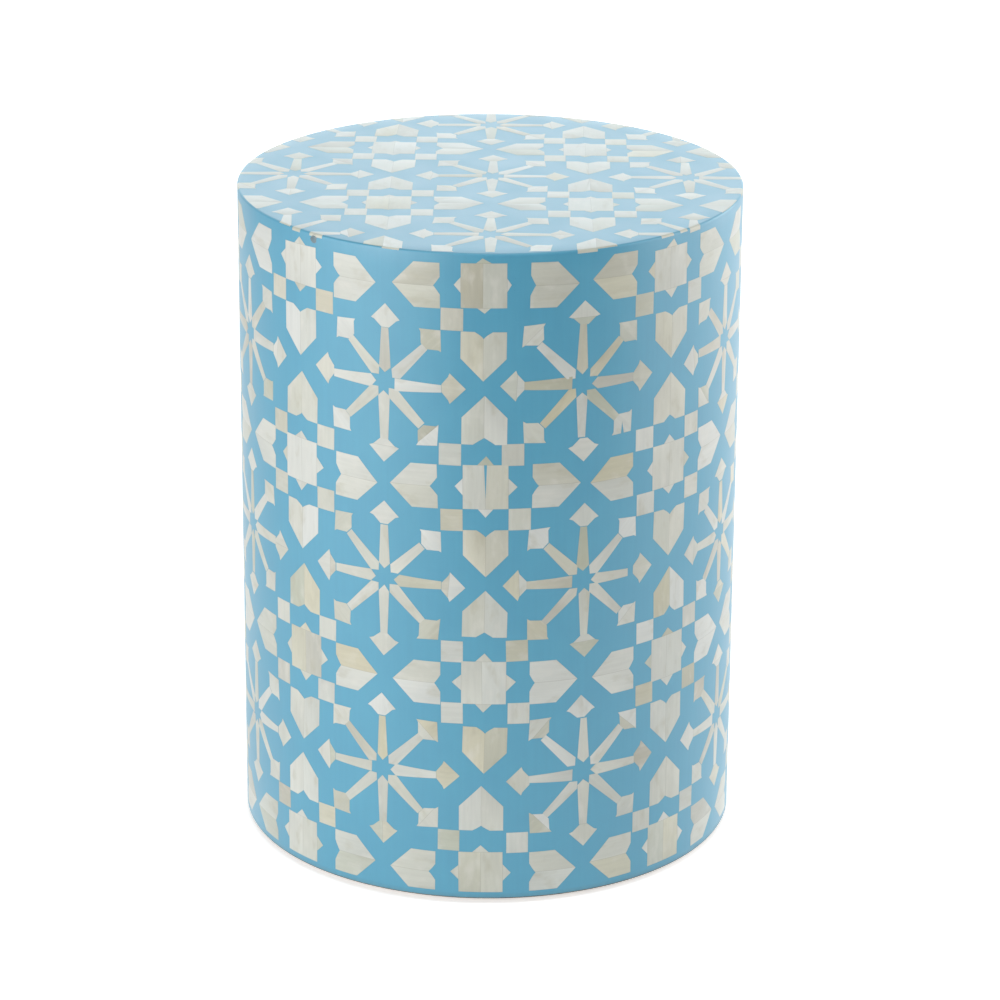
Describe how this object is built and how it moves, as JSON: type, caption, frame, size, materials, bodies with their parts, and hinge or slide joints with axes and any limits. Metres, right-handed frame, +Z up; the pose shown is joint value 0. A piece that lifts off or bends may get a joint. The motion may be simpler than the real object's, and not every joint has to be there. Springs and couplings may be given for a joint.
{
  "type": "drum stool",
  "caption": "Closed cylindrical stool with a flat round top, covered all over in bone inlay set in coloured resin, on low rubber pads.",
  "frame": {"origin": "on the floor, under the middle of the drum", "axes": "+Z up along the drum's axis; -Y is the front, towards the viewer in the picture; +X to the viewer's right"},
  "size_m": [0.35, 0.35, 0.47],
  "materials": {
    "bone": "polished bone under satin lacquer",
    "resin": "light blue filled resin, sanded flush and lacquered satin",
    "board": "raw fibreboard",
    "ply": "raw birch ply",
    "softwood": "planed softwood",
    "rubber": "matt black rubber"
  },
  "bodies": {
    "root": {"top_board": "board", "drum_shell": "ply", "base_board": "ply", "base_ring": "board", "middle_ring": "board", "upper_ring": "board", "lower_batten_1": "softwood", "lower_batten_2": "softwood", "lower_batten_3": "softwood", "lower_batten_4": "softwood", "lower_batten_5": "softwood", "lower_batten_6": "softwood", "lower_batten_7": "softwood", "lower_batten_8": "softwood", "upper_batten_1": "softwood", "upper_batten_2": "softwood", "upper_batten_3": "softwood", "upper_batten_4": "softwood", "upper_batten_5": "softwood", "upper_batten_6": "softwood", "upper_batten_7": "softwood", "upper_batten_8": "softwood", "foot_pad_1": "rubber", "foot_pad_2": "rubber", "foot_pad_3": "rubber", "foot_pad_4": "rubber", "resin_coat": "resin", "bone_column_1": "bone", "bone_column_2": "bone", "bone_column_3": "bone", "bone_column_4": "bone", "bone_column_5": "bone", "bone_column_6": "bone", "bone_column_7": "bone", "bone_column_8": "bone", "bone_top": "bone", "bone_rim_tile_1": "bone", "bone_rim_tile_2": "bone", "bone_rim_tile_3": "bone", "bone_rim_tile_4": "bone", "bone_rim_tile_5": "bone", "bone_rim_tile_6": "bone", "bone_rim_tile_7": "bone", "bone_rim_tile_8": "bone", "bone_rim_tile_9": "bone", "bone_rim_tile_10": "bone", "bone_rim_tile_11": "bone", "bone_rim_tile_12": "bone"}
  },
  "joints": []
}
